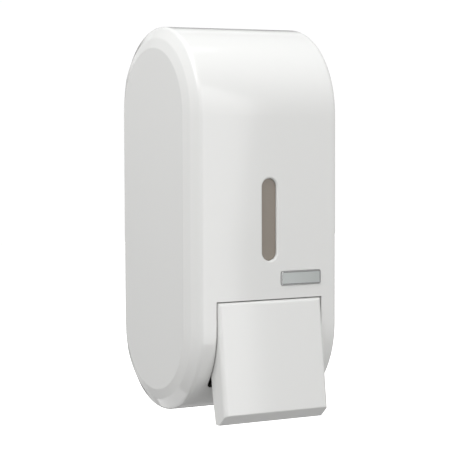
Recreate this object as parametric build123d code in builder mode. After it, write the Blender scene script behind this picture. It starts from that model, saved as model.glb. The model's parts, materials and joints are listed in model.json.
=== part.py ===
from build123d import *
import math
import os

# Wall mounted soap dispenser. The wall is the plane y = 0, the front faces -Y and z = 0 is mid height

# Body: a stadium seen from the side. The cover has a double facet round each flat side panel, the plate one
body_height = 240.0
body_width = 106.0
body_depth = 110.0
wall = 2.5
facet_inset = 13.0
facet_width = 6.0
rim_inset = 6.9
rim_width = 1.9
panel_rounding = 1.5
rim_rounding = 4.0
wrap_rounding = 3.0
half_width = body_width / 2
end_radius = body_depth / 2
mid_y = -end_radius
end_z = body_height / 2 - end_radius
cover_corners = [
    (half_width - facet_width, 0, wrap_rounding),
    (half_width - rim_width, -rim_inset, rim_rounding),
    (half_width, -facet_inset, panel_rounding),
]
plate_corners = [cover_corners[0], cover_corners[-1]]
corner_tolerance = 0.01

# Parting between back plate and cover
parting_y = -13.0
parting_gap = 0.3
lip_height = 3.5
lip_thickness = 1.5
lip_root = 4.0
lip_low_z = -60.0

# Level window and badge on the front
window_width = 10.2
window_length = 50.6
window_z = 0.9
window_flange = 3.0
window_recess = 1.9
window_fit = 0.1
window_flange_thickness = 1.5
window_chamfer = 0.8
badge_width = 28.7
badge_height = 9.0
badge_x = 22.1
badge_z = -35.6
badge_thickness = 1.3
badge_recess = 0.6
badge_corner = 1.3
badge_edge = 0.5

# Push lever: a tray with deep side walls, hinged at its top
lever_half_width = 36.4
lever_wall = 2.4
lever_top_y = -110.8
lever_top_z = -48.6
lever_nose_y = -119.4
lever_nose_z = -116.2
lever_tip_y = -111.6
lever_tip_z = -123.0
lever_heel_y = -107.0
lever_rear_y = -104.4
lever_rear_z = -111.5
lever_back_y = -100.2
lever_back_z = -88.0
lever_pivot_y = -103.5
lever_pivot_z = -53.0
lever_rod_radius = 1.5
lever_rod_half_length = 44.0
lever_side_edge = 2.6
lever_nose_edge = 0.8
lever_boss_radius = 4.0
lever_boss_length = 6.0
rod_chamfer = 0.4
bumper_y = -110.3
bumper_radius = 5.0
bumper_length = 4.0
bumper_dome = 1.2
cutout_half_width = 37.0
cutout_top_z = -48.1
cutout_low_z = -101.8
cutout_corner = 3.0
lug_x = 37.4
lug_width = 6.2
lug_radius = 5.0

# Running clearances
running = 0.05
axial_gap = 0.3
cut_over = 1.0

# Cover hinge at the lower rear
hinge_y = -5.8
hinge_z = -98.5
hinge_barrel = 4.2
hinge_pin_radius = 1.75
knuckle_x = 31.0
knuckle_width = 8.0
knuckle_tip_y = -21.0
ear_width = 5.2
ear_root_z = -76.0
ear_web_z = -88.0
ear_low_z = -96.0
notch_depth = 6.0

# Lock in the top of the cover
lock_y = -48.0
lock_radius = 6.0
lock_head_radius = 8.0
lock_head_z = 116.4
lock_top_z = 118.5
lock_boss_radius = 11.0
lock_boss_z = 100.0
cam_top_z = 94.5
cam_thickness = 3.0
cam_reach = 19.0
cam_width = 9.0
cam_finger = 3.5
cam_finger_z = 88.0
catch_y = -36.5
catch_lip = 2.5
catch_width = 10.0
catch_z = 82.0
catch_top_z = 90.8
catch_arm = 3.0
catch_gusset = 14.0
cam_hub = 7.0
cam_square = 6.0
key_radius = 4.2
key_sides = 3
key_depth = 5.0
lock_screw_radius = 1.5
lock_screw_length = 8.0
lock_screw_head = 4.0
lock_screw_head_height = 2.4

# Tank and its lid
tank_half_width = 44.0
tank_rear_y = -9.0
tank_front_y = -94.0
tank_low_z = -62.0
tank_top_z = 62.0
tank_wall = 2.0
tank_floor = 4.0
tank_corner = 10.0
hatch_half_width = 28.0
hatch_front_y = -88.0
hatch_rear_y = -62.0
hatch_corner = 5.0
lid_overlap = 3.0
lid_thickness = 2.0
lid_pin_radius = 1.2
lid_pin_y = -56.0
lid_pin_rise = 2.6
lid_knuckle = 2.3
lid_lug_x = 18.0
lid_lug_width = 5.0
lid_gap = 0.2
lid_edge = 0.8
lid_skirt = 4.0
lid_tab_width = 16.0
lid_tab_depth = 2.5
skirt_gap = 1.0
tank_edge = 3.0
tank_panel_width = 62.0
tank_panel_height = 96.0
tank_panel_corner = 8.0
tank_panel_depth = 0.8
level_mark_x = 22.0
level_mark_width = 10.0
level_mark_height = 1.4
level_mark_pitch = 18.0
level_mark_count = 5
drain_radius = 18.0

# Outlet neck, under the tank
neck_y = -62.0
spigot_radius = 8.0
spigot_bore = 5.0
spigot_end_z = -69.0
gasket_thickness = 1.5
flange_radius = 10.0
inlet_radius = 7.4
flange_thickness = 2.0
nut_radius = 12.5
nut_top_z = -65.4
nut_low_z = -75.0
valve_web = 1.5
valve_web_z = -75.5
valve_radius = 4.6
port_radius = 1.2
port_circle = 3.2
port_count = 4
valve_lip = 0.9
valve_bulb = 1.7
neck_gap = 0.6
nut_flutes = 8
flute_radius = 1.2

# Pump under the tank, on a horizontal axis
pump_z = -87.0
pump_radius = 10.0
pump_bore = 8.0
pump_front_y = -86.0
pump_rear_y = -54.0
cap_radius = 12.5
cap_front_y = -90.0
cap_rear_y = -76.0
stem_radius = 4.0
stem_bore = 1.75
stem_front_y = -103.4
piston_front_y = -85.7
piston_length = 6.0
piston_radius = 7.6
seal_inner = 6.0
seal_width = 2.2
head_radius = 7.0
head_front_y = -110.0
head_rear_y = -99.0
spout_y = -105.6
spout_top_radius = 4.2
spout_radius = 3.5
spout_low_z = -109.0
spout_bore = 2.0
head_edge = 1.0
duckbill_radius = 2.8
duckbill_length = 7.5
duckbill_collar = 2.5
duckbill_lip = 0.8

# Return spring behind the piston
spring_wire = 1.1
spring_radius = 5.6
spring_turns = 7
spring_dead_pitch = 1.65
spring_end_gap = 0.3
spring_step = 1e-4
spring_samples = 24

# Shelf and wall fixing of the back plate
shelf_half_width = 36.0
shelf_front_y = -86.0
shelf_thickness = 3.0
gusset_thickness = 2.5
gusset_depth = 22.0
screw_x = 30.0
screw_z = 40.0
screw_hole = 2.6
screw_boss = 7.0
screw_head = 5.0
screw_head_depth = 3.0
shelf_corner = 6.0
boss_height = 7.0
rib_height = 6.0
rib_thickness = 1.8

os.makedirs("parts", exist_ok=True)


def body_section(corners, inset):
    """Cross section at mid height, drawn in by inset all round."""
    rear = [(x, y) for x, y, rounding in corners]
    right = rear + [(x, -body_depth - y) for x, y in reversed(rear)]
    outline = right + [(-x, y) for x, y in reversed(right)]
    with BuildSketch() as section:
        with BuildLine():
            Polyline(*outline, close=True)
        make_face()
        if inset:
            offset(amount=-inset, kind=Kind.INTERSECTION, mode=Mode.REPLACE)
        else:
            for x, y, rounding in corners:
                on_line = section.vertices().filter_by(lambda v: abs(abs(v.X) - x) < corner_tolerance)
                fillet(on_line, radius=rounding)
    return section.sketch


def body_solid(corners, inset):
    """The whole stadium body: a straight middle and two half turns of its section."""
    section = body_section(corners, inset)
    with BuildPart() as body:
        with BuildSketch(Plane.XY.offset(-end_z)):
            add(section)
        extrude(amount=2 * end_z)
        for end, half_y in ((end_z, mid_y / 2), (-end_z, mid_y * 3 / 2)):
            with BuildSketch(Plane.XY.offset(end)):
                add(section)
                with Locations((0, half_y)):
                    Rectangle(body_width, end_radius, mode=Mode.INTERSECT)
            revolve(axis=Axis((0, mid_y, end), (1, 0, 0)), revolution_arc=180)
    return body.part


def lip_ring(inset, rear_y, front_y):
    """A stretch of the lip that centres the cover, between two depths and above the lip's foot."""
    with BuildPart() as ring:
        add(body_solid(plate_corners, inset))
        add(body_solid(plate_corners, wall + axial_gap + lip_thickness), mode=Mode.SUBTRACT)
        with Locations((0, rear_y, lip_low_z)):
            Box(
                body_width, rear_y - front_y, body_height,
                align=(Align.CENTER, Align.MAX, Align.MIN), mode=Mode.INTERSECT,
            )
    return ring.part


def rear_wall_y(z):
    """Middle of the rear wall at height z."""
    return mid_y + math.sqrt((end_radius - wall / 2) ** 2 - max(abs(z) - end_z, 0) ** 2)


def low_wall_z(y):
    """Middle of the bottom wall at depth y."""
    return -end_z - math.sqrt((end_radius - wall / 2) ** 2 - (y - mid_y) ** 2)


def spring_arcs(front_y, rear_y):
    """A helix along the pump's axis, as pairs of tangent arcs, with a closed turn at each end."""
    active_turns = spring_turns - 2
    active_pitch = (rear_y - front_y - 2 * spring_dead_pitch) / active_turns

    def point(turn):
        closed = min(turn, 1) + max(turn - 1 - active_turns, 0)
        active = min(max(turn - 1, 0), active_turns)
        along = front_y + closed * spring_dead_pitch + active * active_pitch
        angle = 2 * math.pi * turn
        return Vector(spring_radius * math.cos(angle), along, pump_z + spring_radius * math.sin(angle))

    def tangent(turn):
        return (point(turn + spring_step) - point(turn)).normalized()

    samples = [point(i / spring_samples) for i in range(spring_samples * spring_turns + 1)]
    gaps = [
        (p - q).length - spring_wire
        for i, p in enumerate(samples)
        for q in samples[i + spring_samples // 2:]
    ]
    print("return spring, least gap between its own turns", round(min(gaps), 2), "mm")
    for quarter in range(4 * spring_turns):
        start, end = quarter / 4, (quarter + 1) / 4
        p0, p1, t0, t1 = point(start), point(end), tangent(start), tangent(end)
        chord, both = p1 - p0, t0 + t1
        spread = 2 * (1 - t0.dot(t1))
        reach = (math.sqrt(chord.dot(both) ** 2 + 2 * spread * chord.dot(chord)) - chord.dot(both)) / spread
        near, far = p0 + t0 * (reach / 2), p1 - t1 * (reach / 2)
        yield p0, (near + far) * 0.5, p1, t0, far - near


pump_axis = Axis((0, 0, pump_z), (0, 1, 0))

# Front cover: shell with the window slot, the lever's cut-out and the bosses inside it
with BuildPart() as front_cover:
    add(body_solid(cover_corners, 0))
    add(body_solid(cover_corners, wall), mode=Mode.SUBTRACT)
    split(bisect_by=Plane.XZ.offset(-parting_y), keep=Keep.TOP)
    with BuildSketch(Plane.XZ.offset(body_depth - wall - cut_over)):
        with Locations((0, window_z)):
            SlotOverall(window_length, window_width, rotation=90)
    extrude(amount=wall + 2 * cut_over, mode=Mode.SUBTRACT)
    slot_edges = front_cover.edges(Select.LAST).group_by(Axis.Y)[0]
    chamfer(slot_edges, length=window_chamfer)
    with BuildSketch(Plane.XZ.offset(body_depth - badge_recess)):
        with Locations((badge_x, badge_z)):
            RectangleRounded(badge_width, badge_height, badge_corner)
    extrude(amount=badge_recess, mode=Mode.SUBTRACT)
    with BuildSketch(Plane.XZ.offset(-mid_y + end_radius / 2)) as cutout:
        with Locations((0, (cutout_top_z + cutout_low_z) / 2)):
            Rectangle(2 * cutout_half_width, cutout_top_z - cutout_low_z)
        fillet(cutout.vertices().group_by(Axis.Y)[0], radius=cutout_corner)
    extrude(amount=end_radius, mode=Mode.SUBTRACT)
    for side in (1, -1):
        with BuildSketch(Plane.YZ.offset(side * lug_x)):
            with Locations((lever_pivot_y, lever_pivot_z)):
                Circle(lug_radius)
            with Locations((-body_depth + wall / 2, lever_pivot_z)):
                Rectangle(
                    lever_pivot_y + body_depth - wall / 2, 2 * lug_radius, align=(Align.MIN, Align.CENTER)
                )
            with Locations((lever_pivot_y, lever_pivot_z)):
                Circle(lever_rod_radius + running, mode=Mode.SUBTRACT)
        extrude(amount=side * lug_width)
        with BuildSketch(Plane.YZ.offset(side * knuckle_x)):
            with Locations((hinge_y, hinge_z)):
                Circle(hinge_barrel)
            with BuildLine():
                Polyline(
                    (hinge_y, hinge_z + hinge_barrel),
                    (parting_y, hinge_z + hinge_barrel),
                    (knuckle_tip_y, low_wall_z(knuckle_tip_y)),
                    (parting_y, low_wall_z(parting_y)),
                    (hinge_y, hinge_z - hinge_barrel),
                    close=True,
                )
            make_face()
            with Locations((hinge_y, hinge_z)):
                Circle(hinge_pin_radius + running, mode=Mode.SUBTRACT)
        extrude(amount=knuckle_width / 2, both=True)
    with BuildSketch(Plane.XY.offset(lock_boss_z)):
        with Locations((0, lock_y)):
            Circle(lock_boss_radius)
    extrude(amount=lock_head_z - lock_boss_z)
    with BuildSketch(Plane.XY.offset(lock_boss_z)):
        with Locations((0, lock_y)):
            Circle(lock_radius + running)
    extrude(amount=body_height, mode=Mode.SUBTRACT)
    with BuildSketch(Plane.XY.offset(lock_head_z)):
        with Locations((0, lock_y)):
            Circle(lock_head_radius + running)
    extrude(amount=wall * 2, mode=Mode.SUBTRACT)

# Level window: a smoked strip that fills the slot, on a flange behind the wall
with BuildPart() as level_window:
    with BuildSketch(Plane.XZ.offset(body_depth - wall)):
        with Locations((0, window_z)):
            SlotOverall(window_length - 2 * window_fit, window_width - 2 * window_fit, rotation=90)
    extrude(amount=wall - window_recess)
    with BuildSketch(Plane.XZ.offset(body_depth - wall)):
        with Locations((0, window_z)):
            SlotOverall(window_length + 2 * window_flange, window_width + 2 * window_flange, rotation=90)
    extrude(amount=-window_flange_thickness)

# Badge plate, bare, in its shallow recess
with BuildPart() as badge_plate:
    with BuildSketch(Plane.XZ.offset(body_depth - badge_recess)):
        with Locations((badge_x, badge_z)):
            RectangleRounded(badge_width, badge_height, badge_corner)
    extrude(amount=badge_thickness)
    fillet(badge_plate.faces().sort_by(Axis.Y)[0].edges(), radius=badge_edge)

# Push lever: the side outline is drawn once, then hollowed towards the rear
with BuildSketch(Plane.YZ) as lever_outline:
    with BuildLine():
        Polyline(
            (lever_top_y, lever_top_z),
            (lever_nose_y, lever_nose_z),
            (lever_tip_y, lever_tip_z),
            (lever_heel_y, lever_tip_z),
            (lever_rear_y, lever_rear_z),
            (lever_back_y, lever_back_z),
            (lever_back_y, lever_top_z),
            close=True,
        )
    make_face()

with BuildPart() as push_lever:
    with BuildSketch(Plane.YZ):
        add(lever_outline.sketch_local)
    extrude(amount=lever_half_width, both=True)
    front_face = push_lever.faces().sort_by(SortBy.AREA)[-1]
    fillet(front_face.edges().filter_by(lambda e: e.center().Z > lever_nose_z + lever_wall), radius=lever_side_edge)
    fillet(push_lever.edges().filter_by(Axis.X).sort_by(Axis.Y)[0], radius=lever_nose_edge)
    with BuildSketch(Plane.YZ):
        add(lever_outline.sketch_local)
        offset(amount=-lever_wall, kind=Kind.INTERSECTION, mode=Mode.REPLACE)
    extrude(amount=lever_half_width - lever_wall, both=True, mode=Mode.SUBTRACT)
    with BuildSketch(Plane.YZ.shift_origin((0, 2 * lever_wall, 0))):
        add(lever_outline.sketch_local)
        offset(amount=-lever_wall, kind=Kind.INTERSECTION, mode=Mode.REPLACE)
    extrude(amount=lever_half_width - lever_wall, both=True, mode=Mode.SUBTRACT)
    for side in (1, -1):
        with BuildSketch(Plane.YZ.offset(side * (lever_half_width - lever_wall / 2))):
            with Locations((lever_pivot_y, lever_pivot_z)):
                Circle(lever_boss_radius)
        extrude(amount=-side * lever_boss_length)
    with BuildSketch(Plane.YZ):
        with Locations((lever_pivot_y, lever_pivot_z)):
            Circle(lever_rod_radius + running)
    extrude(amount=body_width, both=True, mode=Mode.SUBTRACT)

# Rubber nose inside the lever, which meets the nozzle head
with BuildPart() as lever_bumper:
    crown = (bumper_y, pump_z)
    shoulder = (bumper_y - bumper_dome, pump_z + bumper_radius)
    front_y = bumper_y - bumper_length
    with BuildSketch(Plane.YZ):
        with BuildLine():
            TangentArc(crown, shoulder, tangent=(0, 1))
            Polyline(shoulder, (front_y, pump_z + bumper_radius), (front_y, pump_z), crown)
        make_face()
    revolve(axis=pump_axis)
    add(push_lever.part, mode=Mode.SUBTRACT)

with BuildPart() as lever_hinge_rod:
    with BuildSketch(Plane.YZ):
        with Locations((lever_pivot_y, lever_pivot_z)):
            Circle(lever_rod_radius)
    extrude(amount=lever_rod_half_length, both=True)
    chamfer(lever_hinge_rod.edges().filter_by(GeomType.CIRCLE), length=rod_chamfer)

# Back plate: the rear dish of the body, with shelf, catch, hinge ears and wall fixing
shelf_low_z = tank_low_z - shelf_thickness
gusset_low_z = shelf_low_z - gusset_depth

with BuildPart() as back_plate:
    add(body_solid(plate_corners, 0))
    add(body_solid(plate_corners, wall), mode=Mode.SUBTRACT)
    split(bisect_by=Plane.XZ.offset(-parting_y - parting_gap), keep=Keep.BOTTOM)
    add(lip_ring(wall / 2, parting_y + lip_root, parting_y + parting_gap))
    add(lip_ring(wall + axial_gap, parting_y + parting_gap, parting_y - lip_height))
    with BuildSketch(Plane.XZ):
        for side in (1, -1):
            with Locations((side * screw_x, 0)):
                Rectangle(rib_thickness, 2 * screw_z)
            with Locations((0, side * screw_z)):
                Rectangle(2 * screw_x, rib_thickness)
    extrude(amount=rib_height)
    with BuildSketch(Plane.XZ):
        with GridLocations(2 * screw_x, 2 * screw_z, 2, 2):
            Circle(screw_boss)
    extrude(amount=boss_height)
    with BuildSketch(Plane.XZ):
        with GridLocations(2 * screw_x, 2 * screw_z, 2, 2):
            Circle(screw_hole)
    extrude(amount=boss_height, mode=Mode.SUBTRACT)
    with BuildSketch(Plane.XZ.offset(boss_height - screw_head_depth)):
        with GridLocations(2 * screw_x, 2 * screw_z, 2, 2):
            Circle(screw_head)
    extrude(amount=screw_head_depth, mode=Mode.SUBTRACT)
    with BuildSketch(Plane.XY.offset(shelf_low_z)) as shelf:
        with Locations((0, -wall / 2)):
            Rectangle(2 * shelf_half_width, -shelf_front_y - wall / 2, align=(Align.CENTER, Align.MAX))
        fillet(shelf.vertices().group_by(Axis.Y)[0], radius=shelf_corner)
        with Locations((0, neck_y)):
            Circle(spigot_radius + neck_gap, mode=Mode.SUBTRACT)
            Rectangle(
                2 * (spigot_radius + neck_gap), body_depth,
                align=(Align.CENTER, Align.MAX), mode=Mode.SUBTRACT,
            )
    extrude(amount=shelf_thickness)
    for side in (1, -1):
        with BuildSketch(Plane.YZ.offset(side * (shelf_half_width - gusset_thickness / 2))):
            with BuildLine():
                Polyline(
                    (rear_wall_y(shelf_low_z), shelf_low_z),
                    (neck_y, shelf_low_z),
                    (rear_wall_y(gusset_low_z), gusset_low_z),
                    close=True,
                )
            make_face()
        extrude(amount=gusset_thickness / 2, both=True)
    with BuildSketch(Plane.YZ):
        with BuildLine():
            Polyline(
                (rear_wall_y(catch_z - catch_gusset), catch_z - catch_gusset),
                (catch_y + catch_lip, catch_z),
                (catch_y, catch_z),
                (catch_y, catch_top_z),
                (catch_y + catch_lip, catch_top_z),
                (catch_y + catch_lip, catch_z + catch_arm),
                (rear_wall_y(catch_z + catch_arm), catch_z + catch_arm),
                close=True,
            )
        make_face()
    extrude(amount=catch_width / 2, both=True)
    for side in (1, -1):
        with BuildSketch(Plane.YZ.offset(side * knuckle_x)):
            with Locations((parting_y, hinge_z)):
                Rectangle(2 * notch_depth, 2 * notch_depth)
        extrude(amount=knuckle_width / 2 + axial_gap, both=True, mode=Mode.SUBTRACT)
        for ear in (1, -1):
            ear_x = side * knuckle_x + ear * (knuckle_width / 2 + axial_gap)
            with BuildSketch(Plane.YZ.offset(ear_x)):
                with Locations((hinge_y, hinge_z)):
                    Circle(hinge_barrel)
                with BuildLine():
                    Polyline(
                        (hinge_y + hinge_barrel, hinge_z),
                        (hinge_y + hinge_barrel, ear_root_z),
                        (rear_wall_y(ear_web_z), ear_web_z),
                        (rear_wall_y(ear_low_z), ear_low_z),
                        (hinge_y - hinge_barrel, hinge_z),
                        close=True,
                    )
                make_face()
                with Locations((hinge_y, hinge_z)):
                    Circle(hinge_pin_radius, mode=Mode.SUBTRACT)
            extrude(amount=ear * ear_width)

with BuildPart() as cover_hinge_pins:
    with BuildSketch(Plane.YZ):
        with Locations((hinge_y, hinge_z)):
            Circle(hinge_pin_radius)
    pin_half_length = knuckle_width / 2 + axial_gap + ear_width
    extrude(amount=knuckle_x + pin_half_length, both=True)
    with BuildSketch(Plane.YZ):
        with Locations((hinge_y, hinge_z)):
            Circle(2 * hinge_pin_radius)
    extrude(amount=knuckle_x - pin_half_length, both=True, mode=Mode.SUBTRACT)

# Lock: barrel with a three sided key well, cam and screw
with BuildPart() as lock_barrel:
    with BuildSketch(Plane.XY.offset(cam_top_z)):
        with Locations((0, lock_y)):
            Circle(lock_radius)
    extrude(amount=lock_head_z - cam_top_z)
    with BuildSketch(Plane.XY.offset(lock_head_z)):
        with Locations((0, lock_y)):
            Circle(lock_head_radius)
    extrude(amount=lock_top_z - lock_head_z)
    chamfer(lock_barrel.faces().sort_by(Axis.Z)[-1].edges(), length=rod_chamfer)
    with BuildSketch(Plane.XY.offset(lock_top_z)):
        with Locations((0, lock_y)):
            RegularPolygon(key_radius, key_sides)
    extrude(amount=-key_depth, mode=Mode.SUBTRACT)
    with BuildSketch(Plane.XY.offset(cam_top_z - cam_thickness)):
        with Locations((0, lock_y)):
            Rectangle(cam_square, cam_square)
    extrude(amount=cam_thickness)
    with BuildSketch(Plane.XY.offset(cam_top_z - cam_thickness)):
        with Locations((0, lock_y)):
            Circle(lock_screw_radius)
    extrude(amount=lock_screw_length, mode=Mode.SUBTRACT)

with BuildPart() as lock_cam:
    with BuildSketch(Plane.XY.offset(cam_top_z - cam_thickness)):
        with Locations((0, lock_y)):
            Circle(cam_hub)
            Rectangle(cam_reach, cam_width, align=(Align.MAX, Align.CENTER))
            Rectangle(cam_square, cam_square, mode=Mode.SUBTRACT)
    extrude(amount=cam_thickness)
    with BuildSketch(Plane.XY.offset(cam_finger_z)):
        with Locations((-cam_reach, lock_y)):
            Rectangle(cam_finger, cam_width, align=(Align.MIN, Align.CENTER))
    extrude(amount=cam_top_z - cam_thickness - cam_finger_z)

with BuildPart() as lock_screw:
    with BuildSketch(Plane.XY.offset(cam_top_z - cam_thickness)):
        with Locations((0, lock_y)):
            Circle(lock_screw_radius)
    extrude(amount=lock_screw_length)
    with BuildSketch(Plane.XY.offset(cam_top_z - cam_thickness)):
        with Locations((0, lock_y)):
            Circle(lock_screw_head)
    extrude(amount=-lock_screw_head_height)
    fillet(lock_screw.faces().sort_by(Axis.Z)[0].edges(), radius=lock_screw_head_height / 2)

# Tank: a moulded box with a drained floor, an outlet spigot and a filling hole
tank_mid_y = (tank_rear_y + tank_front_y) / 2
tank_depth = tank_rear_y - tank_front_y
hatch_mid_y = (hatch_rear_y + hatch_front_y) / 2
hatch_depth = hatch_rear_y - hatch_front_y

with BuildPart() as reservoir:
    with BuildSketch(Plane.XY.offset(tank_low_z)):
        with Locations((0, tank_mid_y)):
            RectangleRounded(2 * tank_half_width, tank_depth, tank_corner)
    extrude(amount=tank_top_z - tank_low_z)
    fillet(reservoir.faces().filter_by(Axis.Z).edges(), radius=tank_edge)
    tank_mid_z = (tank_low_z + tank_top_z) / 2
    with BuildSketch(Plane.XZ.offset(-tank_front_y)):
        with Locations((0, tank_mid_z)):
            RectangleRounded(tank_panel_width, tank_panel_height, tank_panel_corner)
        with Locations((level_mark_x, tank_mid_z)):
            with GridLocations(level_mark_width, level_mark_pitch, 1, level_mark_count):
                Rectangle(level_mark_width, level_mark_height, mode=Mode.SUBTRACT)
    extrude(amount=-tank_panel_depth, mode=Mode.SUBTRACT)
    for side in (1, -1):
        with BuildSketch(Plane.YZ.offset(side * tank_half_width)):
            with Locations((tank_mid_y, tank_mid_z)):
                RectangleRounded(tank_panel_width, tank_panel_height, tank_panel_corner)
        extrude(amount=-side * tank_panel_depth, mode=Mode.SUBTRACT)
    with BuildSketch(Plane.XY.offset(tank_low_z + tank_floor)):
        with Locations((0, tank_mid_y)):
            RectangleRounded(
                2 * (tank_half_width - tank_wall), tank_depth - 2 * tank_wall, tank_corner - tank_wall
            )
    extrude(amount=tank_top_z - tank_low_z - tank_floor - tank_wall, mode=Mode.SUBTRACT)
    with BuildSketch(Plane.XY.offset(tank_top_z)):
        with Locations((0, hatch_mid_y)):
            RectangleRounded(2 * hatch_half_width, hatch_depth, hatch_corner)
    extrude(amount=-2 * tank_wall, mode=Mode.SUBTRACT)
    with BuildSketch(Plane.XY.offset(tank_low_z)):
        with Locations((0, neck_y)):
            Circle(spigot_radius)
    extrude(amount=spigot_end_z - tank_low_z)
    with BuildSketch(Plane.XY.offset(spigot_end_z)):
        with Locations((0, neck_y)):
            Circle(spigot_bore)
    extrude(amount=tank_low_z + tank_floor - spigot_end_z, mode=Mode.SUBTRACT)
    with Locations((0, neck_y, tank_low_z + tank_floor)):
        Cone(
            spigot_bore, drain_radius, tank_floor - tank_wall / 2,
            align=(Align.CENTER, Align.CENTER, Align.MAX), mode=Mode.SUBTRACT,
        )
    for side in (1, -1):
        with BuildSketch(Plane.YZ.offset(side * lid_lug_x)):
            with Locations((lid_pin_y, tank_top_z + lid_pin_rise)):
                Circle(lid_knuckle)
                Rectangle(2 * lid_knuckle, lid_pin_rise + tank_wall / 2, align=(Align.CENTER, Align.MAX))
                Circle(lid_pin_radius, mode=Mode.SUBTRACT)
        extrude(amount=lid_lug_width / 2, both=True)

with BuildPart() as reservoir_lid:
    with BuildSketch(Plane.XY.offset(tank_top_z + lid_gap)):
        with Locations((0, hatch_mid_y)):
            RectangleRounded(
                2 * (hatch_half_width + lid_overlap), hatch_depth + 2 * lid_overlap, hatch_corner + lid_overlap
            )
        with Locations((0, hatch_front_y - lid_overlap)):
            Rectangle(lid_tab_width, 2 * lid_tab_depth)
    extrude(amount=lid_thickness)
    fillet(reservoir_lid.faces().sort_by(Axis.Z)[-1].edges(), radius=lid_edge)
    with BuildSketch(Plane.XY.offset(tank_top_z + lid_gap)):
        with Locations((0, hatch_mid_y)):
            for gap, mode in ((skirt_gap, Mode.ADD), (skirt_gap + tank_wall, Mode.SUBTRACT)):
                RectangleRounded(
                    2 * (hatch_half_width - gap), hatch_depth - 2 * gap, hatch_corner - gap, mode=mode
                )
    extrude(amount=-lid_skirt)
    with BuildSketch(Plane.YZ):
        with Locations((lid_pin_y, tank_top_z + lid_pin_rise)):
            Circle(lid_knuckle)
        with BuildLine():
            Polyline(
                (lid_pin_y, tank_top_z + lid_pin_rise + lid_knuckle),
                (hatch_rear_y, tank_top_z + lid_gap + lid_thickness),
                (hatch_rear_y, tank_top_z + lid_gap),
                (lid_pin_y, tank_top_z + lid_pin_rise - lid_knuckle),
                close=True,
            )
        make_face()
        with Locations((lid_pin_y, tank_top_z + lid_pin_rise)):
            Circle(lid_pin_radius + running, mode=Mode.SUBTRACT)
    extrude(amount=lid_lug_x - lid_lug_width / 2 - axial_gap, both=True)

with BuildPart() as lid_hinge_pin:
    with BuildSketch(Plane.YZ):
        with Locations((lid_pin_y, tank_top_z + lid_pin_rise)):
            Circle(lid_pin_radius)
    extrude(amount=lid_lug_x + lid_lug_width / 2, both=True)

# Neck between tank and pump
flange_top_z = spigot_end_z - gasket_thickness
flange_low_z = flange_top_z - flange_thickness

with BuildPart() as neck_gasket:
    with BuildSketch(Plane.XY.offset(flange_top_z)):
        with Locations((0, neck_y)):
            Circle(spigot_radius)
            Circle(spigot_bore, mode=Mode.SUBTRACT)
    extrude(amount=gasket_thickness)

with BuildPart() as coupling_nut:
    with BuildSketch(Plane.XY.offset(nut_low_z)):
        with Locations((0, neck_y)):
            Circle(nut_radius)
        with Locations((0, neck_y)):
            with PolarLocations(nut_radius, nut_flutes):
                Circle(flute_radius, mode=Mode.SUBTRACT)
        with Locations((0, neck_y)):
            Circle(spigot_radius + neck_gap / 2, mode=Mode.SUBTRACT)
    extrude(amount=nut_top_z - nut_low_z)
    with BuildSketch(Plane.XY.offset(flange_low_z)):
        with Locations((0, neck_y)):
            Circle(flange_radius + neck_gap / 2)
    extrude(amount=spigot_end_z - flange_low_z, mode=Mode.SUBTRACT)

# Pump body: cylinder closed at the rear, with the inlet neck and its valve seat on top
with BuildPart() as pump_body:
    with BuildSketch(Plane.XZ.offset(-pump_rear_y)):
        with Locations((0, pump_z)):
            Circle(pump_radius)
    extrude(amount=pump_rear_y - pump_front_y)
    with BuildSketch(Plane.XY.offset(pump_z)):
        with Locations((0, neck_y)):
            Circle(inlet_radius)
    extrude(amount=flange_top_z - pump_z)
    with BuildSketch(Plane.XY.offset(flange_low_z)):
        with Locations((0, neck_y)):
            Circle(flange_radius)
    extrude(amount=flange_thickness)
    with BuildSketch(Plane.XZ.offset(-pump_rear_y + wall)):
        with Locations((0, pump_z)):
            Circle(pump_bore)
    extrude(amount=body_depth, mode=Mode.SUBTRACT)
    with BuildSketch(Plane.XY.offset(pump_z)):
        with Locations((0, neck_y)):
            Circle(spigot_bore)
    extrude(amount=valve_web_z - pump_z, mode=Mode.SUBTRACT)
    with BuildSketch(Plane.XY.offset(valve_web_z + valve_web)):
        with Locations((0, neck_y)):
            Circle(spigot_bore)
    extrude(amount=spigot_radius, mode=Mode.SUBTRACT)
    with BuildSketch(Plane.XY.offset(valve_web_z)):
        with Locations((0, neck_y)):
            Circle(port_radius)
            with PolarLocations(port_circle, port_count):
                Circle(port_radius)
    extrude(amount=valve_web, mode=Mode.SUBTRACT)

# Umbrella valve: a thin disc under the ports, held by its stem and bulb
with BuildPart() as inlet_valve:
    with BuildSketch(Plane.YZ):
        with BuildLine():
            Polyline(
                (neck_y, valve_web_z - valve_lip),
                (neck_y + valve_radius, valve_web_z - valve_lip),
                (neck_y + valve_radius, valve_web_z),
                (neck_y + port_radius, valve_web_z),
                (neck_y + port_radius, valve_web_z + valve_web),
                (neck_y + valve_bulb, valve_web_z + valve_web),
                (neck_y, valve_web_z + valve_web + valve_bulb),
                close=True,
            )
        make_face()
    revolve(axis=Axis((0, neck_y, 0), (0, 0, 1)))

with BuildPart() as pump_cap:
    with BuildSketch(Plane.XZ.offset(-cap_rear_y)):
        with Locations((0, pump_z)):
            Circle(cap_radius)
            with PolarLocations(cap_radius, nut_flutes):
                Circle(flute_radius, mode=Mode.SUBTRACT)
    extrude(amount=cap_rear_y - cap_front_y)
    with BuildSketch(Plane.XZ.offset(-cap_rear_y)):
        with Locations((0, pump_z)):
            Circle(pump_radius)
    extrude(amount=cap_rear_y - pump_front_y, mode=Mode.SUBTRACT)
    with BuildSketch(Plane.XZ.offset(-pump_front_y)):
        with Locations((0, pump_z)):
            Circle(stem_radius + running)
    extrude(amount=pump_front_y - cap_front_y, mode=Mode.SUBTRACT)

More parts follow.
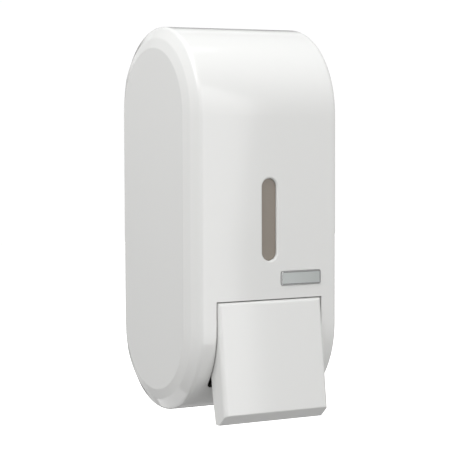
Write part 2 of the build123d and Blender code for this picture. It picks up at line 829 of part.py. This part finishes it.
# Plunger: hollow stem and piston in one turned piece, with the seal's groove
piston_rear_y = piston_front_y + piston_length
seal_front_y = piston_front_y + (piston_length - seal_width) / 2

with BuildPart() as pump_plunger:
    with BuildSketch(Plane.YZ):
        with BuildLine():
            Polyline(
                (stem_front_y, pump_z + stem_bore),
                (stem_front_y, pump_z + stem_radius),
                (piston_front_y, pump_z + stem_radius),
                (piston_front_y, pump_z + piston_radius),
                (seal_front_y, pump_z + piston_radius),
                (seal_front_y, pump_z + seal_inner),
                (seal_front_y + seal_width, pump_z + seal_inner),
                (seal_front_y + seal_width, pump_z + piston_radius),
                (piston_rear_y, pump_z + piston_radius),
                (piston_rear_y, pump_z + stem_bore),
                close=True,
            )
        make_face()
    revolve(axis=pump_axis)

with BuildPart() as piston_seal:
    with BuildSketch(Plane.XZ.offset(-seal_front_y)):
        with Locations((0, pump_z)):
            Circle(pump_bore - running)
            Circle(seal_inner, mode=Mode.SUBTRACT)
    extrude(amount=-seal_width)

# Nozzle head: socket on the stem with a spout that points down
with BuildPart() as nozzle_head:
    with BuildSketch(Plane.XZ.offset(-head_rear_y)):
        with Locations((0, pump_z)):
            Circle(head_radius)
    extrude(amount=head_rear_y - head_front_y)
    fillet(nozzle_head.faces().sort_by(Axis.Y)[0].edges(), radius=head_edge)
    with BuildSketch(Plane.XZ.offset(-spout_y)):
        with BuildLine():
            Polyline(
                (0, pump_z), (spout_top_radius, pump_z),
                (spout_radius, spout_low_z), (0, spout_low_z), close=True,
            )
        make_face()
    revolve(axis=Axis((0, spout_y, pump_z), (0, 0, 1)))
    with BuildSketch(Plane.XZ.offset(-head_rear_y)):
        with Locations((0, pump_z)):
            Circle(stem_radius)
    extrude(amount=head_rear_y - stem_front_y, mode=Mode.SUBTRACT)
    with BuildSketch(Plane.XZ.offset(-stem_front_y)):
        with Locations((0, pump_z)):
            Circle(stem_bore)
    extrude(amount=stem_front_y - spout_y, mode=Mode.SUBTRACT)
    with BuildSketch(Plane.XY.offset(pump_z)):
        with Locations((0, spout_y)):
            Circle(spout_bore)
    extrude(amount=spout_low_z - pump_z, mode=Mode.SUBTRACT)
    with BuildSketch(Plane.XY.offset(spout_low_z)):
        with Locations((0, spout_y)):
            Circle(duckbill_radius)
    extrude(amount=duckbill_length, mode=Mode.SUBTRACT)

# Duckbill valve: a collar that narrows to two lips
with BuildPart() as duckbill_valve:
    with BuildSketch(Plane.XY.offset(spout_low_z + duckbill_length)):
        with Locations((0, spout_y)):
            Circle(duckbill_radius)
    extrude(amount=-duckbill_collar)
    with BuildSketch(Plane.XY.offset(spout_low_z + duckbill_length - duckbill_collar)):
        with Locations((0, spout_y)):
            Rectangle(2 * spout_bore, 2 * spout_bore)
    with BuildSketch(Plane.XY.offset(spout_low_z)):
        with Locations((0, spout_y)):
            Rectangle(2 * spout_bore, duckbill_lip)
    loft()
    with BuildSketch(Plane.XY.offset(spout_low_z + duckbill_length)):
        with Locations((0, spout_y)):
            Circle(stem_bore - duckbill_lip / 2)
    extrude(amount=-duckbill_collar, mode=Mode.SUBTRACT)

# Return spring: one unbroken tube between the piston and the pump's rear wall
spring_front_y = piston_rear_y + spring_end_gap + spring_wire / 2
spring_rear_y = pump_rear_y - wall - spring_end_gap - spring_wire / 2

with BuildPart() as return_spring:
    with BuildLine() as coil:
        for first, middle, last, leave, cross in spring_arcs(spring_front_y, spring_rear_y):
            TangentArc(first, middle, tangent=leave)
            TangentArc(middle, last, tangent=cross)
    with BuildSketch(Plane(coil.line @ 0, z_dir=coil.line % 0)):
        Circle(spring_wire / 2)
    sweep(path=coil.line)
spring_length = sum(edge.length for edge in coil.edges())
print("return spring, wire", round(spring_length, 1), "mm, volume over section times length",
      round(return_spring.part.volume / (math.pi * (spring_wire / 2) ** 2 * spring_length), 4))

pieces = {
    "front_cover": front_cover,
    "level_window": level_window,
    "badge_plate": badge_plate,
    "push_lever": push_lever,
    "lever_bumper": lever_bumper,
    "lever_hinge_rod": lever_hinge_rod,
    "back_plate": back_plate,
    "cover_hinge_pins": cover_hinge_pins,
    "lock_barrel": lock_barrel,
    "lock_cam": lock_cam,
    "lock_screw": lock_screw,
    "reservoir": reservoir,
    "reservoir_lid": reservoir_lid,
    "lid_hinge_pin": lid_hinge_pin,
    "neck_gasket": neck_gasket,
    "coupling_nut": coupling_nut,
    "pump_body": pump_body,
    "inlet_valve": inlet_valve,
    "pump_cap": pump_cap,
    "pump_plunger": pump_plunger,
    "piston_seal": piston_seal,
    "return_spring": return_spring,
    "nozzle_head": nozzle_head,
    "duckbill_valve": duckbill_valve,
}
for name, piece in pieces.items():
    piece.part.label = name
    export_step(piece.part, f"parts/{name}.step")
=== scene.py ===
"""Looks of the wall mounted soap dispenser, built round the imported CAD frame."""

import json
import math

import bmesh
import bpy
from bpy.props import FloatProperty, FloatVectorProperty, IntProperty, PointerProperty
from mathutils import Euler, Matrix, Vector


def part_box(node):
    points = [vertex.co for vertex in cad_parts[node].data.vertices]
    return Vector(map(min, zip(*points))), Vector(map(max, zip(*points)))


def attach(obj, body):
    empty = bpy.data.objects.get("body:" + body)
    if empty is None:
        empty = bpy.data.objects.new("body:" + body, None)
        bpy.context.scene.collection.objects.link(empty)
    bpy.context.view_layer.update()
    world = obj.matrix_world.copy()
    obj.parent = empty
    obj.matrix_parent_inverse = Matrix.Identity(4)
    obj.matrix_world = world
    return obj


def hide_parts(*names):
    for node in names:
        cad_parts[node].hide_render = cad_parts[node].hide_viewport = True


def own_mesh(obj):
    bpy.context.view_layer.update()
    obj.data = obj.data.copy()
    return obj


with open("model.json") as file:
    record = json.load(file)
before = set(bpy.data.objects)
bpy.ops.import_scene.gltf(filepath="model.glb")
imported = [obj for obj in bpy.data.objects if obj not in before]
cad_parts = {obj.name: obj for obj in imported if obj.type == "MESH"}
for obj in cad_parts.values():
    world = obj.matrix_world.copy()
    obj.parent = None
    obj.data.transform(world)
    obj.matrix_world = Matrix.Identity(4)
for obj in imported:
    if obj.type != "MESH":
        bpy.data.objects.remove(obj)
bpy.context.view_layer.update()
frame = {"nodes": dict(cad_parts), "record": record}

bl_info = {
    "name": "Soap Dispenser Looks",
    "version": (1, 0, 0),
    "blender": (4, 5, 0),
    "location": "View3D > Sidebar > Dispenser",
    "description": "Dresses the packed wall dispenser with its shells, finishes and studio",
    "category": "Object",
}

MM = 0.001
SENSOR_WIDTH = 36.0

# Vertices nearer than this are one, and edges with at least this cosine to an axis run along it.
WELD = 0.002 * MM
ALONG_AXIS = 0.9

# Noise in every finish: scale per metre, detail, and the broad noise's share in the drift of colour.
BROAD_SCALE = 14.0
BROAD_DETAIL = 3.0
FINE_DETAIL = 2.0
BROAD_SHARE = 0.7

# Roughness varies round its value: this share of it is fixed, and each noise adds up to its own share.
ROUGH_FIXED = 0.75
ROUGH_BROAD = 0.35
ROUGH_FINE = 0.15

# Relief of the grain, and samples of the rounding that shading gives to sharp edges.
RELIEF_DEPTH = 0.1 * MM
EDGE_SAMPLES = 6

# Floor: scale and detail of its noise, and its roughness with the part that drifts.
FLOOR_SCALE = 3.0
FLOOR_DETAIL = 3.0
FLOOR_ROUGHNESS = 0.6
FLOOR_DRIFT = 0.2

# Surroundings: heights between which ground passes into sky, and cosines from straight behind the object
# between which the backdrop, and the dark cloth before it, begin and are whole.
HORIZON = (-0.7, -0.25)
BACKDROP_EDGE = (0.7, 0.95)
FLAG_EDGE = (0.84, 0.97)


def colour(name, description, default):
    """A colour property."""
    return FloatVectorProperty(
        name=name, description=description, default=default, subtype="COLOR", size=3, min=0.0, max=1.0
    )


def share(name, description, default):
    """A property between 0 and 1."""
    return FloatProperty(
        name=name, description=description, default=default, subtype="FACTOR", min=0.0, max=1.0
    )


def length(name, description, default):
    """A length property, in metres."""
    return FloatProperty(name=name, description=description, default=default, unit="LENGTH", min=0.0)


def lengths(name, description, default):
    """Two lengths, in metres."""
    return FloatVectorProperty(
        name=name, description=description, default=default, unit="LENGTH", size=2, min=0.0
    )


def position(name, description, default):
    """A point in the frame, in metres."""
    return FloatVectorProperty(
        name=name, description=description, default=default, subtype="TRANSLATION", size=3
    )


def angle(name, description, degrees):
    """An angle property."""
    return FloatProperty(
        name=name, description=description, default=math.radians(degrees), subtype="ANGLE"
    )


def light_level(name, description, default):
    """A brightness, where 1 is white in the picture."""
    return FloatProperty(name=name, description=description, default=default, min=0.0)


class FinishSettings(bpy.types.PropertyGroup):
    """Colours and gloss of the materials."""

    shell: colour("Shell", "White of the moulded shells", (0.8, 0.8, 0.785))
    shell_roughness: share("Shell roughness", "Gloss of the moulded shells", 0.08)
    smoke: colour("Window", "Tint of the level window", (0.256, 0.222, 0.184))
    plate: colour("Badge border", "Colour of the bright plate", (0.55, 0.556, 0.554))
    plate_field: colour("Badge field", "Colour of the plate's satin field", (0.33, 0.345, 0.34))
    steel: colour("Steel", "Colour of rods, pins and screws", (0.56, 0.56, 0.57))
    tank: colour("Tank", "Colour of the translucent tank", (0.78, 0.8, 0.79))
    tank_mark: colour("Level marks", "Ink of the tank's level marks", (0.16, 0.19, 0.22))
    pump: colour("Pump", "Colour of the pump's mouldings", (0.74, 0.74, 0.72))
    lock: colour("Lock", "Colour of the lock's mouldings", (0.4, 0.4, 0.41))
    rubber: colour("Rubber", "Colour of the seals", (0.03, 0.03, 0.032))
    silicone: colour("Silicone", "Colour of the valves", (0.72, 0.71, 0.68))


class BadgeSettings(bpy.types.PropertyGroup):
    """Shape of the bare plate."""

    gap: length("Gap", "Gap between the plate and its recess", 0.25 * MM)
    corner: length("Corner radius", "Radius of the plate's corners", 1.1 * MM)
    rounding: length("Edge rounding", "Rounding of the plate's front edge", 0.25 * MM)
    border: length("Border width", "Width of the polished border", 0.5 * MM)
    step: length("Field depth", "How far the field is sunk", 0.15 * MM)


class MarkSettings(bpy.types.PropertyGroup):
    """Inked level marks on the tank."""

    count: IntProperty(name="Marks", description="How many marks there are", default=5, min=1)
    place: length("Place", "Distance of the marks from the middle", 22 * MM)
    width: length("Width", "Length of a mark", 10 * MM)
    height: length("Height", "Thickness of a mark", 1.4 * MM)
    pitch: length("Pitch", "Distance from mark to mark", 18 * MM)
    reach: length("Reach", "Depth of the ink behind the tank's front", 0.3 * MM)


class StageSettings(bpy.types.PropertyGroup):
    """Camera, floor and light."""

    camera_place: position("Camera place", "Where the camera stands", (-0.4887, -0.9641, 0.0584))
    camera_turn: angle("Camera turn", "Turn of the view to the right of straight on", 28.18)
    camera_drop: angle("Camera drop", "Tilt of the view below level", 3.53)
    camera_roll: angle("Camera roll", "Turn of the picture", -0.19)
    camera_lens: FloatProperty(name="Lens", description="Focal length", default=128.8, unit="CAMERA")
    floor_drop: length("Floor drop", "Height of the object's middle above the floor", 1.2)
    floor_width: length("Floor width", "Side of the square floor", 30.0)
    floor_colour: colour("Floor", "Colour of the floor", (0.7, 0.7, 0.69))
    floor_glow: light_level("Floor glow", "Light that the floor gives of its own", 0.25)
    floor_fade: lengths("Floor fade", "Where the floor begins and ends to fade into the backdrop", (2.0, 4.0))
    backdrop: light_level("Backdrop", "Brightness of the white backdrop", 1.02)
    flag: light_level("Flag", "Brightness of the dark cloth that the outline mirrors", 0.08)
    sky: light_level("Sky", "Brightness of the other surroundings on the object", 0.5)
    ground: light_level("Ground", "Brightness from below", 0.35)
    key: light_level("Key", "Brightness of the front softbox", 2.5)
    key_place: position("Key place", "Middle of the front softbox", (0.37, -1.52, 0.5))
    key_size: lengths("Key size", "Width and height of the front softbox", (0.8, 1.3))
    top: light_level("Top", "Brightness of the softbox overhead", 1.04)
    top_tint: colour("Top tint", "Colour of the softbox overhead", (0.93, 0.965, 1.0))
    top_place: position("Top place", "Middle of the softbox overhead", (-0.1, -0.2, 1.3))
    top_size: lengths("Top size", "Width and depth of the softbox overhead", (1.2, 1.2))
    fill: light_level("Fill", "Brightness of the softbox on the left", 3.5)
    fill_place: position("Fill place", "Middle of the softbox on the left", (-0.8, -0.25, 0.8))
    fill_size: lengths("Fill size", "Width and height of the softbox on the left", (0.8, 0.8))
    sheen_place: position("Sheen place", "Middle of the card below the front softbox", (0.33, -1.52, -0.4))
    sheen_size: lengths("Sheen size", "Width and height of that card", (0.8, 0.6))
    low: light_level("Low card", "Brightness of the card that the lower facets mirror", 1.3)
    low_place: position("Low place", "Middle of the card that the lower facets mirror", (-0.34, 0.6, -0.98))
    low_size: lengths("Low size", "Width and height of that card", (0.9, 0.9))


class Value:
    """A shader socket with arithmetic: an expression on values adds its Math nodes."""

    def __init__(self, shader, socket):
        self.shader = shader
        self.socket = socket

    def math(self, operation, first, second):
        """The result of one Math node."""
        node = self.shader.add("ShaderNodeMath", {"operation": operation}, {0: first, 1: second})
        return node["Value"]

    def __add__(self, other):
        return self.math("ADD", self, other)

    def __radd__(self, other):
        return self.math("ADD", other, self)

    def __sub__(self, other):
        return self.math("SUBTRACT", self, other)

    def __rsub__(self, other):
        return self.math("SUBTRACT", other, self)

    def __mul__(self, other):
        return self.math("MULTIPLY", self, other)

    def __rmul__(self, other):
        return self.math("MULTIPLY", other, self)

    def __lt__(self, other):
        return self.math("LESS_THAN", self, other)

    def __abs__(self):
        return self.math("ABSOLUTE", self, 0.0)

    def __mod__(self, other):
        return self.math("FLOORED_MODULO", self, other)


class Outputs:
    """The outputs of one node, as values."""

    def __init__(self, shader, node):
        self.shader = shader
        self.node = node

    def __getitem__(self, name):
        return Value(self.shader, self.node.outputs[name])


class Shader:
    """A node tree that is filled by add()."""

    def __init__(self, tree):
        self.tree = tree
        tree.nodes.clear()

    def add(self, kind, settings=None, sockets=None):
        """Adds a node, applies its settings, then sets or links its sockets."""
        node = self.tree.nodes.new(kind)
        for key, setting in (settings or {}).items():
            setattr(node, key, setting)
        for key, given in (sockets or {}).items():
            if isinstance(given, Value):
                self.tree.links.new(given.socket, node.inputs[key])
            else:
                node.inputs[key].default_value = given
        return Outputs(self, node)

    def noise(self, place, scale, detail):
        """A grey noise of the given scale per metre."""
        return self.add("ShaderNodeTexNoise", {}, {"Vector": place, "Scale": scale, "Detail": detail})["Fac"]

    def mix(self, factor, first, second):
        """Blends two colours."""
        return self.add(
            "ShaderNodeMix", {"data_type": "RGBA"}, {"Factor": factor, "A": first, "B": second}
        )["Result"]


def surface(
    name, base, roughness, metallic=0.0, ior=1.5, grain=0.05, grain_size=1.0, stretch=(1.0, 1.0, 1.0),
    cloud=0.02, edge=0.3, painted=None, paint=(0.0, 0.0, 0.0), **constants
):
    """A material whose colour, gloss and fine relief vary over the surface.

    Colour drifts by cloud. Grain is the strength of a relief of grain_size millimetres, which stretch draws
    out into streaks. Edge is the radius, in millimetres, that shading gives to sharp edges. Painted makes a
    mask that takes the colour of paint.
    """
    material = bpy.data.materials.new(name)
    material.use_nodes = True
    shader = Shader(material.node_tree)
    place = shader.add("ShaderNodeTexCoord")["Object"]
    drawn = shader.add("ShaderNodeMapping", {}, {"Vector": place, "Scale": stretch})["Vector"]
    broad = shader.noise(place, BROAD_SCALE, BROAD_DETAIL)
    fine = shader.noise(drawn, 1 / (grain_size * MM), FINE_DETAIL)
    dark = (*(c * (1 - cloud) for c in base), 1.0)
    light = (*(min(1.0, c * (1 + cloud)) for c in base), 1.0)
    tint = shader.mix(BROAD_SHARE * broad + (1 - BROAD_SHARE) * fine, dark, light)
    if painted:
        tint = shader.mix(painted(shader, place), tint, (*paint, 1.0))
    relief = {"Strength": grain, "Distance": RELIEF_DEPTH, "Height": fine}
    if edge:
        rounded = shader.add("ShaderNodeBevel", {"samples": EDGE_SAMPLES}, {"Radius": edge * MM})
        relief["Normal"] = rounded["Normal"]
    sockets = {
        "Base Color": tint,
        "Roughness": roughness * (ROUGH_FIXED + ROUGH_BROAD * broad + ROUGH_FINE * fine),
        "Metallic": metallic,
        "IOR": ior,
        "Normal": shader.add("ShaderNodeBump", {}, relief)["Normal"],
        **constants,
    }
    principled = shader.add("ShaderNodeBsdfPrincipled", {}, sockets)
    shader.add("ShaderNodeOutputMaterial", {}, {"Surface": principled["BSDF"]})
    return material


def front_face(bm):
    """The face that looks most to the front."""
    return min(bm.faces, key=lambda face: face.normal.y * face.calc_area())


def edges_to_the_back(bm):
    """The edges that run straight from front to back."""
    ways = {edge: (edge.verts[0].co - edge.verts[1].co).normalized() for edge in bm.edges}
    return [edge for edge, way in ways.items() if abs(way.y) > ALONG_AXIS]


def round_edges(bm, edges, radius, segments):
    """Rounds edges of a bmesh."""
    bmesh.ops.bevel(
        bm, geom=list(edges), offset=radius, offset_type="OFFSET", affect="EDGES", segments=segments,
        profile=0.5, material=-1,
    )
    bm.normal_update()


def add_piece(name, bm, body, slot, *nodes, sharp):
    """Turns a bmesh into a piece that rides on a body and stands for CAD nodes.

    Its shading is smooth over edges that turn by less than sharp degrees.
    """
    mesh = bpy.data.meshes.new(name)
    bm.to_mesh(mesh)
    bm.free()
    mesh.shade_smooth()
    mesh.set_sharp_from_angle(angle=math.radians(sharp))
    piece = bpy.data.objects.new(name, mesh)
    bpy.context.scene.collection.objects.link(piece)
    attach(piece, body)
    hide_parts(*nodes)
    return piece


def dress(material, *nodes):
    """Gives CAD nodes their finish."""
    for name in nodes:
        slots = frame["nodes"][name].data.materials
        slots.clear()
        slots.append(material)


class DISPENSER_OT_shells(bpy.types.Operator):
    """Finish the cover, the lever and the back plate in gloss white."""

    bl_idname = "dispenser.shells"
    bl_label = "Shells"

    def execute(self, context):
        finish = context.scene.dispenser_finish
        white = surface(
            "shell white", finish.shell, finish.shell_roughness, grain_size=1.5, cloud=0.006, edge=0.6
        )
        dress(white, "front_cover", "push_lever", "back_plate")
        return {"FINISHED"}


class DISPENSER_OT_window(bpy.types.Operator):
    """Finish the level window in smoked plastic."""

    bl_idname = "dispenser.window"
    bl_label = "Level window"

    def execute(self, context):
        finish = context.scene.dispenser_finish
        smoked = surface("window smoke", finish.smoke, roughness=0.2, grain_size=2.5, cloud=0.06)
        dress(smoked, "level_window")
        return {"FINISHED"}


class DISPENSER_OT_badge(bpy.types.Operator):
    """Build the bare chrome plate: rounded corners, a polished border and a sunk satin field."""

    bl_idname = "dispenser.badge"
    bl_label = "Badge plate"
    satin_slot = 1

    def execute(self, context):
        finish = context.scene.dispenser_finish
        shape = context.scene.dispenser_badge
        low, high = (Vector(corner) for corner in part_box("badge_plate"))
        bm = bmesh.new()
        size = high - low - Vector((2 * shape.gap, 0.0, 2 * shape.gap))
        block = Matrix.Translation((low + high) / 2) @ Matrix.Diagonal((*size, 1.0))
        bmesh.ops.create_cube(bm, size=1.0, matrix=block)
        round_edges(bm, edges_to_the_back(bm), shape.corner, segments=6)
        round_edges(bm, front_face(bm).edges, shape.rounding, segments=3)
        field = front_face(bm)
        bmesh.ops.inset_region(bm, faces=[field], thickness=shape.border)
        step = bmesh.ops.inset_region(bm, faces=[field], thickness=shape.step, depth=-shape.step)
        for face in (field, *step["faces"]):
            face.material_index = self.satin_slot
        plate = add_piece("badge", bm, "cover", "chrome", "badge_plate", sharp=12)
        polished = surface("badge chrome", finish.plate, roughness=0.08, metallic=1.0, grain=0.02, edge=0.0)
        satin = surface(
            "badge satin", finish.plate_field, roughness=0.32, metallic=1.0, grain=0.15, grain_size=0.15,
            stretch=(0.03, 1.0, 1.0), cloud=0.05, edge=0.0,
        )
        plate.data.materials.append(polished)
        plate.data.materials.append(satin)
        return {"FINISHED"}


class DISPENSER_OT_tank(bpy.types.Operator):
    """Finish the tank and its lid in translucent plastic."""

    bl_idname = "dispenser.tank"
    bl_label = "Tank"

    def execute(self, context):
        finish = context.scene.dispenser_finish
        milk = surface(
            "tank milk", finish.tank, roughness=0.42, grain=0.12, grain_size=0.8, cloud=0.04,
            painted=self.level_marks, paint=finish.tank_mark, Alpha=0.92,
        )
        dress(milk, "reservoir")
        satin = surface("lid satin", finish.tank, roughness=0.35, grain=0.1, grain_size=0.6, cloud=0.03)
        dress(satin, "reservoir_lid")
        return {"FINISHED"}

    @staticmethod
    def level_marks(shader, place):
        """A mask of the raised marks on the tank's front, which are inked."""
        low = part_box("reservoir")[0]
        marks = bpy.context.scene.dispenser_marks
        axes = shader.add("ShaderNodeSeparateXYZ", {}, {"Vector": place})
        across = abs(axes["X"] - marks.place) < marks.width / 2
        along = (axes["Z"] + marks.pitch / 2) % marks.pitch
        level = abs(along - marks.pitch / 2) < marks.height / 2
        in_row = abs(axes["Z"]) < marks.pitch * (marks.count / 2)
        front = axes["Y"] < low[1] + marks.reach
        return across * level * in_row * front


class DISPENSER_OT_pump(bpy.types.Operator):
    """Finish the pump's mouldings and its rubber."""

    bl_idname = "dispenser.pump"
    bl_label = "Pump"

    def execute(self, context):
        finish = context.scene.dispenser_finish
        moulding = surface("pump satin", finish.pump, roughness=0.38, grain=0.1, grain_size=0.5, cloud=0.03)
        dress(moulding, "pump_body", "pump_cap", "coupling_nut", "pump_plunger", "nozzle_head")
        rubber = surface("seal rubber", finish.rubber, roughness=0.62, grain=0.35, grain_size=0.3, cloud=0.3)
        dress(rubber, "neck_gasket", "piston_seal", "lever_bumper")
        silicone = surface(
            "valve silicone", finish.silicone, roughness=0.45, grain=0.08, grain_size=0.4, Alpha=0.85
        )
        dress(silicone, "inlet_valve", "duckbill_valve")
        return {"FINISHED"}


class DISPENSER_OT_metal(bpy.types.Operator):
    """Finish rods, pins, screw and spring in steel."""

    bl_idname = "dispenser.metal"
    bl_label = "Metal"

    def execute(self, context):
        finish = context.scene.dispenser_finish
        drawn = surface(
            "drawn steel", finish.steel, roughness=0.28, metallic=1.0, grain=0.2, grain_size=0.15,
            stretch=(0.04, 1.0, 1.0), cloud=0.08,
        )
        dress(drawn, "lever_hinge_rod", "cover_hinge_pins", "lid_hinge_pin")
        wire = surface(
            "spring wire", finish.steel, roughness=0.24, metallic=1.0, grain=0.1, grain_size=0.2, cloud=0.1
        )
        dress(wire, "return_spring", "lock_screw")
        self.squeeze_spring(wire)
        return {"FINISHED"}

    @staticmethod
    def squeeze_spring(wire):
        """A copy of the spring with its vertices welded, which takes the place of the CAD spring; the
        plunger's stroke is read but not used.
        """
        low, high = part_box("return_spring")
        free_length = high[1] - low[1]
        joints = frame["record"]["behaviour"]["joints"]
        slide = next(joint for joint in joints if joint["name"] == "plunger_slide")
        stroke = slide["range_m"][1]
        bm = bmesh.new()
        bm.from_mesh(frame["nodes"]["return_spring"].data)
        bmesh.ops.remove_doubles(bm, verts=bm.verts, dist=WELD)
        spring = add_piece("spring", bm, "base", "spring_steel", "return_spring", sharp=60)
        spring.data.materials.append(wire)
        1 - stroke / free_length
        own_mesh(spring)


class DISPENSER_OT_lock(bpy.types.Operator):
    """Finish the lock's barrel and cam in grey plastic."""

    bl_idname = "dispenser.lock"
    bl_label = "Lock"

    def execute(self, context):
        finish = context.scene.dispenser_finish
        grey = surface("lock grey", finish.lock, roughness=0.42, grain=0.2, grain_size=0.3, cloud=0.08)
        dress(grey, "lock_barrel", "lock_cam")
        return {"FINISHED"}


class DISPENSER_OT_stage(bpy.types.Operator):
    """Set up the floor, the soft light and the camera."""

    bl_idname = "dispenser.stage"
    bl_label = "Stage"

    def execute(self, context):
        stage = context.scene.dispenser_stage
        self.make_floor(context, stage)
        self.make_surroundings(context, stage)
        self.make_softbox("key softbox", stage.key, stage.key_place, stage.key_size)
        top = self.make_softbox("top softbox", stage.top, stage.top_place, stage.top_size)
        top.data.color = stage.top_tint
        self.make_softbox("fill softbox", stage.fill, stage.fill_place, stage.fill_size)
        sheen = self.make_softbox("sheen card", stage.key, stage.sheen_place, stage.sheen_size)
        low = self.make_softbox("low card", stage.low, stage.low_place, stage.low_size)
        for card in (sheen, low):
            card.visible_diffuse = False
        self.make_camera(context, stage)
        context.scene.view_settings.view_transform = "Standard"
        return {"FINISHED"}

    def floor_paint(self, stage):
        """Pale paint that fades into the white of the backdrop."""
        material = bpy.data.materials.new("floor paint")
        material.use_nodes = True
        shader = Shader(material.node_tree)
        place = shader.add("ShaderNodeTexCoord")["Object"]
        away = shader.add("ShaderNodeVectorMath", {"operation": "LENGTH"}, {0: place})["Value"]
        drift = shader.noise(place, FLOOR_SCALE, FLOOR_DETAIL)
        fade = self.ease(shader, away, *stage.floor_fade)
        sockets = {
            "Base Color": (*stage.floor_colour, 1.0),
            "Roughness": FLOOR_ROUGHNESS + FLOOR_DRIFT * drift,
            "Emission Color": stage.floor_glow + fade * stage.backdrop,
            "Emission Strength": 1.0,
        }
        paint = shader.add("ShaderNodeBsdfPrincipled", {}, sockets)
        shader.add("ShaderNodeOutputMaterial", {}, {"Surface": paint["BSDF"]})
        return material

    def make_floor(self, context, stage):
        """A floor that doesn't light the object and isn't mirrored in it."""
        bm = bmesh.new()
        bmesh.ops.create_grid(
            bm, x_segments=1, y_segments=1, size=stage.floor_width / 2,
            matrix=Matrix.Translation((0, 0, -stage.floor_drop)),
        )
        mesh = bpy.data.meshes.new("floor")
        bm.to_mesh(mesh)
        bm.free()
        floor = bpy.data.objects.new("floor", mesh)
        mesh.materials.append(self.floor_paint(stage))
        floor.visible_diffuse = False
        floor.visible_glossy = False
        context.scene.collection.objects.link(floor)

    @staticmethod
    def ease(shader, value, low, high):
        """A smooth step from 0 at low to 1 at high."""
        return shader.add(
            "ShaderNodeMapRange", {"interpolation_type": "SMOOTHSTEP"},
            {"Value": value, "From Min": low, "From Max": high},
        )["Result"]

    def make_surroundings(self, context, stage):
        """A white backdrop for the camera, and softer tones for the light that falls on the object."""
        world = bpy.data.worlds.new("studio")
        world.use_nodes = True
        context.scene.world = world
        shader = Shader(world.node_tree)
        way = shader.add("ShaderNodeTexCoord")["Generated"]
        height = shader.add("ShaderNodeSeparateXYZ", {}, {"Vector": way})["Z"]
        ahead = (math.sin(stage.camera_turn), math.cos(stage.camera_turn), 0.0)
        turned = shader.add("ShaderNodeVectorMath", {"operation": "DOT_PRODUCT"}, {0: way, 1: ahead})
        facing = turned["Value"]
        rise = self.ease(shader, height, *HORIZON)
        behind = self.ease(shader, facing, *BACKDROP_EDGE)
        ray = shader.add("ShaderNodeLightPath")
        flagged = ray["Is Glossy Ray"] * self.ease(shader, facing, *FLAG_EDGE)
        back = stage.backdrop - stage.sky + flagged * (stage.flag - stage.backdrop)
        lit = stage.ground + rise * (stage.sky - stage.ground + behind * back)
        tone = lit + ray["Is Camera Ray"] * (stage.backdrop - lit)
        light = shader.add("ShaderNodeBackground", {}, {"Color": tone, "Strength": 1.0})
        shader.add("ShaderNodeOutputWorld", {}, {"Surface": light["Background"]})

    @staticmethod
    def make_softbox(name, brightness, place, size):
        """A softbox that faces the object and that the camera doesn't see."""
        light = bpy.data.lights.new(name, "AREA")
        light.shape = "RECTANGLE"
        light.size, light.size_y = size
        light.energy = brightness * math.pi * size[0] * size[1]
        box = bpy.data.objects.new(name, light)
        box.location = place
        box.rotation_mode = "QUATERNION"
        box.rotation_quaternion = (-Vector(place)).to_track_quat("-Z", "Y")
        box.visible_camera = False
        bpy.context.scene.collection.objects.link(box)
        return box

    @staticmethod
    def make_camera(context, stage):
        """The camera of the main view."""
        data = bpy.data.cameras.new("camera")
        data.sensor_width = SENSOR_WIDTH
        data.lens = stage.camera_lens
        camera = bpy.data.objects.new("camera", data)
        camera.location = stage.camera_place
        aim = Euler((math.pi / 2 - stage.camera_drop, 0.0, -stage.camera_turn)).to_matrix()
        camera.rotation_euler = (aim @ Matrix.Rotation(stage.camera_roll, 3, "Z")).to_euler()
        context.scene.collection.objects.link(camera)
        context.scene.camera = camera


SETTINGS = {
    "dispenser_finish": FinishSettings,
    "dispenser_badge": BadgeSettings,
    "dispenser_marks": MarkSettings,
    "dispenser_stage": StageSettings,
}
OPERATORS = (
    DISPENSER_OT_shells,
    DISPENSER_OT_window,
    DISPENSER_OT_badge,
    DISPENSER_OT_tank,
    DISPENSER_OT_pump,
    DISPENSER_OT_metal,
    DISPENSER_OT_lock,
    DISPENSER_OT_stage,
)


class DISPENSER_PT_looks(bpy.types.Panel):
    """Lists the settings and the operators."""

    bl_idname = "DISPENSER_PT_looks"
    bl_label = "Soap dispenser"
    bl_space_type = "VIEW_3D"
    bl_region_type = "UI"
    bl_category = "Dispenser"

    def draw(self, context):
        scene = context.scene
        for settings in (getattr(scene, name) for name in SETTINGS):
            for name in settings.bl_rna.properties.keys():
                if name not in {"rna_type", "name"}:
                    self.layout.prop(settings, name)
        for operator in OPERATORS:
            self.layout.operator(operator.bl_idname)


CLASSES = (*SETTINGS.values(), *OPERATORS, DISPENSER_PT_looks)


def register():
    """Adds the classes and the settings to Blender."""
    for cls in CLASSES:
        bpy.utils.register_class(cls)
    for name, group in SETTINGS.items():
        setattr(bpy.types.Scene, name, PointerProperty(type=group))


def unregister():
    """Takes the settings and the classes out again."""
    for name in SETTINGS:
        delattr(bpy.types.Scene, name)
    for cls in reversed(CLASSES):
        bpy.utils.unregister_class(cls)


def main():
    """Registers the add-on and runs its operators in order."""
    register()
    for operator in OPERATORS:
        family, action = operator.bl_idname.split(".")
        getattr(getattr(bpy.ops, family), action)()


if __name__ == "__main__":
    main()
